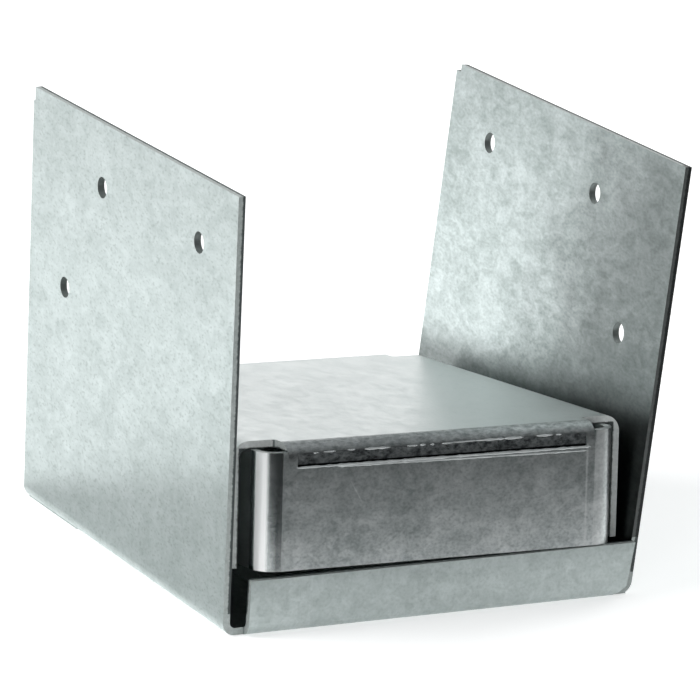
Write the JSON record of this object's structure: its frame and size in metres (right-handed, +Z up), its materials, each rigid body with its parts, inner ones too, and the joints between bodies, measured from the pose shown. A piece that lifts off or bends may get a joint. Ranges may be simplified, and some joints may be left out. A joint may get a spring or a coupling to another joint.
{
  "type": "timber post base",
  "caption": "Folded galvanised steel base that nails to the foot of a square timber post, holds it off the concrete on a loose raised pan and is fixed by one anchor bolt.",
  "frame": {"origin": "the middle of the bracket's underside, at the middle of its anchor slot", "axes": "+Z up away from the concrete, +X from the left leg to the right leg, -Y towards the front lip that the pan is propped on"},
  "size_m": [0.1019, 0.1012, 0.0896],
  "materials": {
    "bracket_steel": "galvanised steel sheet, satin with a fine mottle",
    "pan_steel": "galvanised steel sheet, satin with a burnished fold",
    "plate_steel": "galvanised steel plate, satin"
  },
  "bodies": {
    "root": {"base_bracket": "bracket_steel", "standoff_pan": "pan_steel", "bearing_plate": "plate_steel"}
  },
  "joints": []
}
